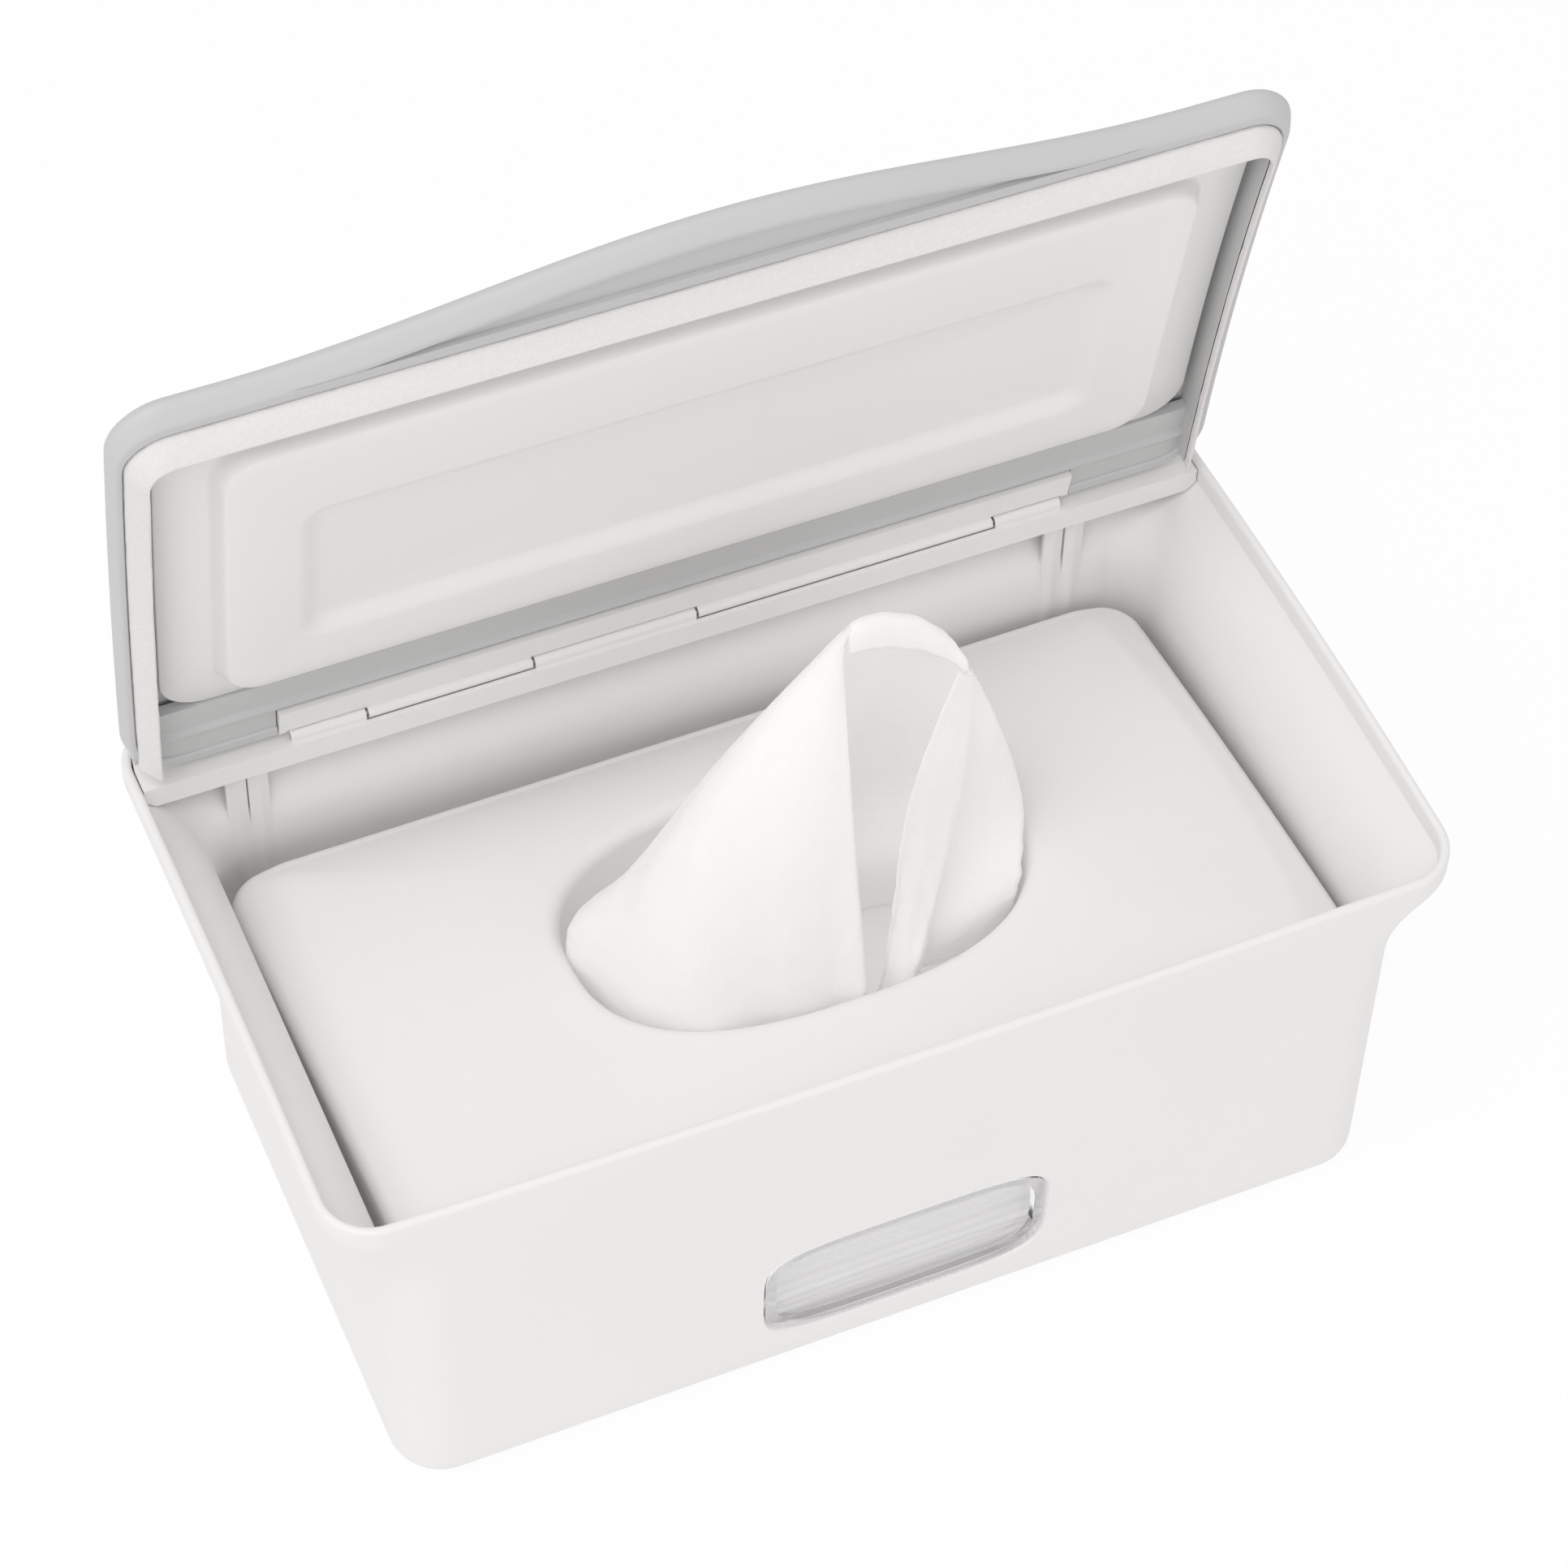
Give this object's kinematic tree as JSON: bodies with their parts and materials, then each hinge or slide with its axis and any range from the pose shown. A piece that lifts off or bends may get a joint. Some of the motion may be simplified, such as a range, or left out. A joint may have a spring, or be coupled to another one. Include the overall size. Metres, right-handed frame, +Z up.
{
  "type": "wipes dispenser",
  "caption": "White plastic wipes dispenser with a hinged grey lid, a weighted plate with an oval opening, a clear window and a wipe pulled up",
  "frame": {"origin": "Centre of the tub's flat underside, on the surface it stands on", "axes": "+X along the length, parallel to the hinge line; +Y from the front wall with the window to the back; +Z up"},
  "size_m": [0.245, 0.1396, 0.2322],
  "materials": {
    "white_plastic": "satin moulded polypropylene",
    "grey_plastic": "matt moulded polypropylene",
    "clear_plastic": "clear moulded plastic",
    "seal_rubber": "soft white seal",
    "steel": "plain drawn steel",
    "wipe_cloth": "damp nonwoven cloth"
  },
  "bodies": {
    "base": {"tub": "white_plastic", "window_pane": "clear_plastic", "hinge_rail": "white_plastic", "hinge_pin": "steel", "dispensing_plate": "white_plastic", "plate_collar": "white_plastic", "ballast_bar_left": "steel", "ballast_bar_right": "steel", "wipes_stack": "wipe_cloth", "pulled_wipe": "wipe_cloth"},
    "lid": {"lid_shell": "grey_plastic", "lid_inner_panel": "white_plastic", "lid_gasket": "seal_rubber", "hinge_strip": "white_plastic"}
  },
  "joints": [
    {"name": "lid_hinge", "type": "hinge", "parent": "base", "child": "lid", "pos_m": [0, 0.061, 0.09625], "axis": [-1, 0, 0], "range_deg": [-79.9, 18], "deforming": ["pulled_wipe"]}
  ]
}
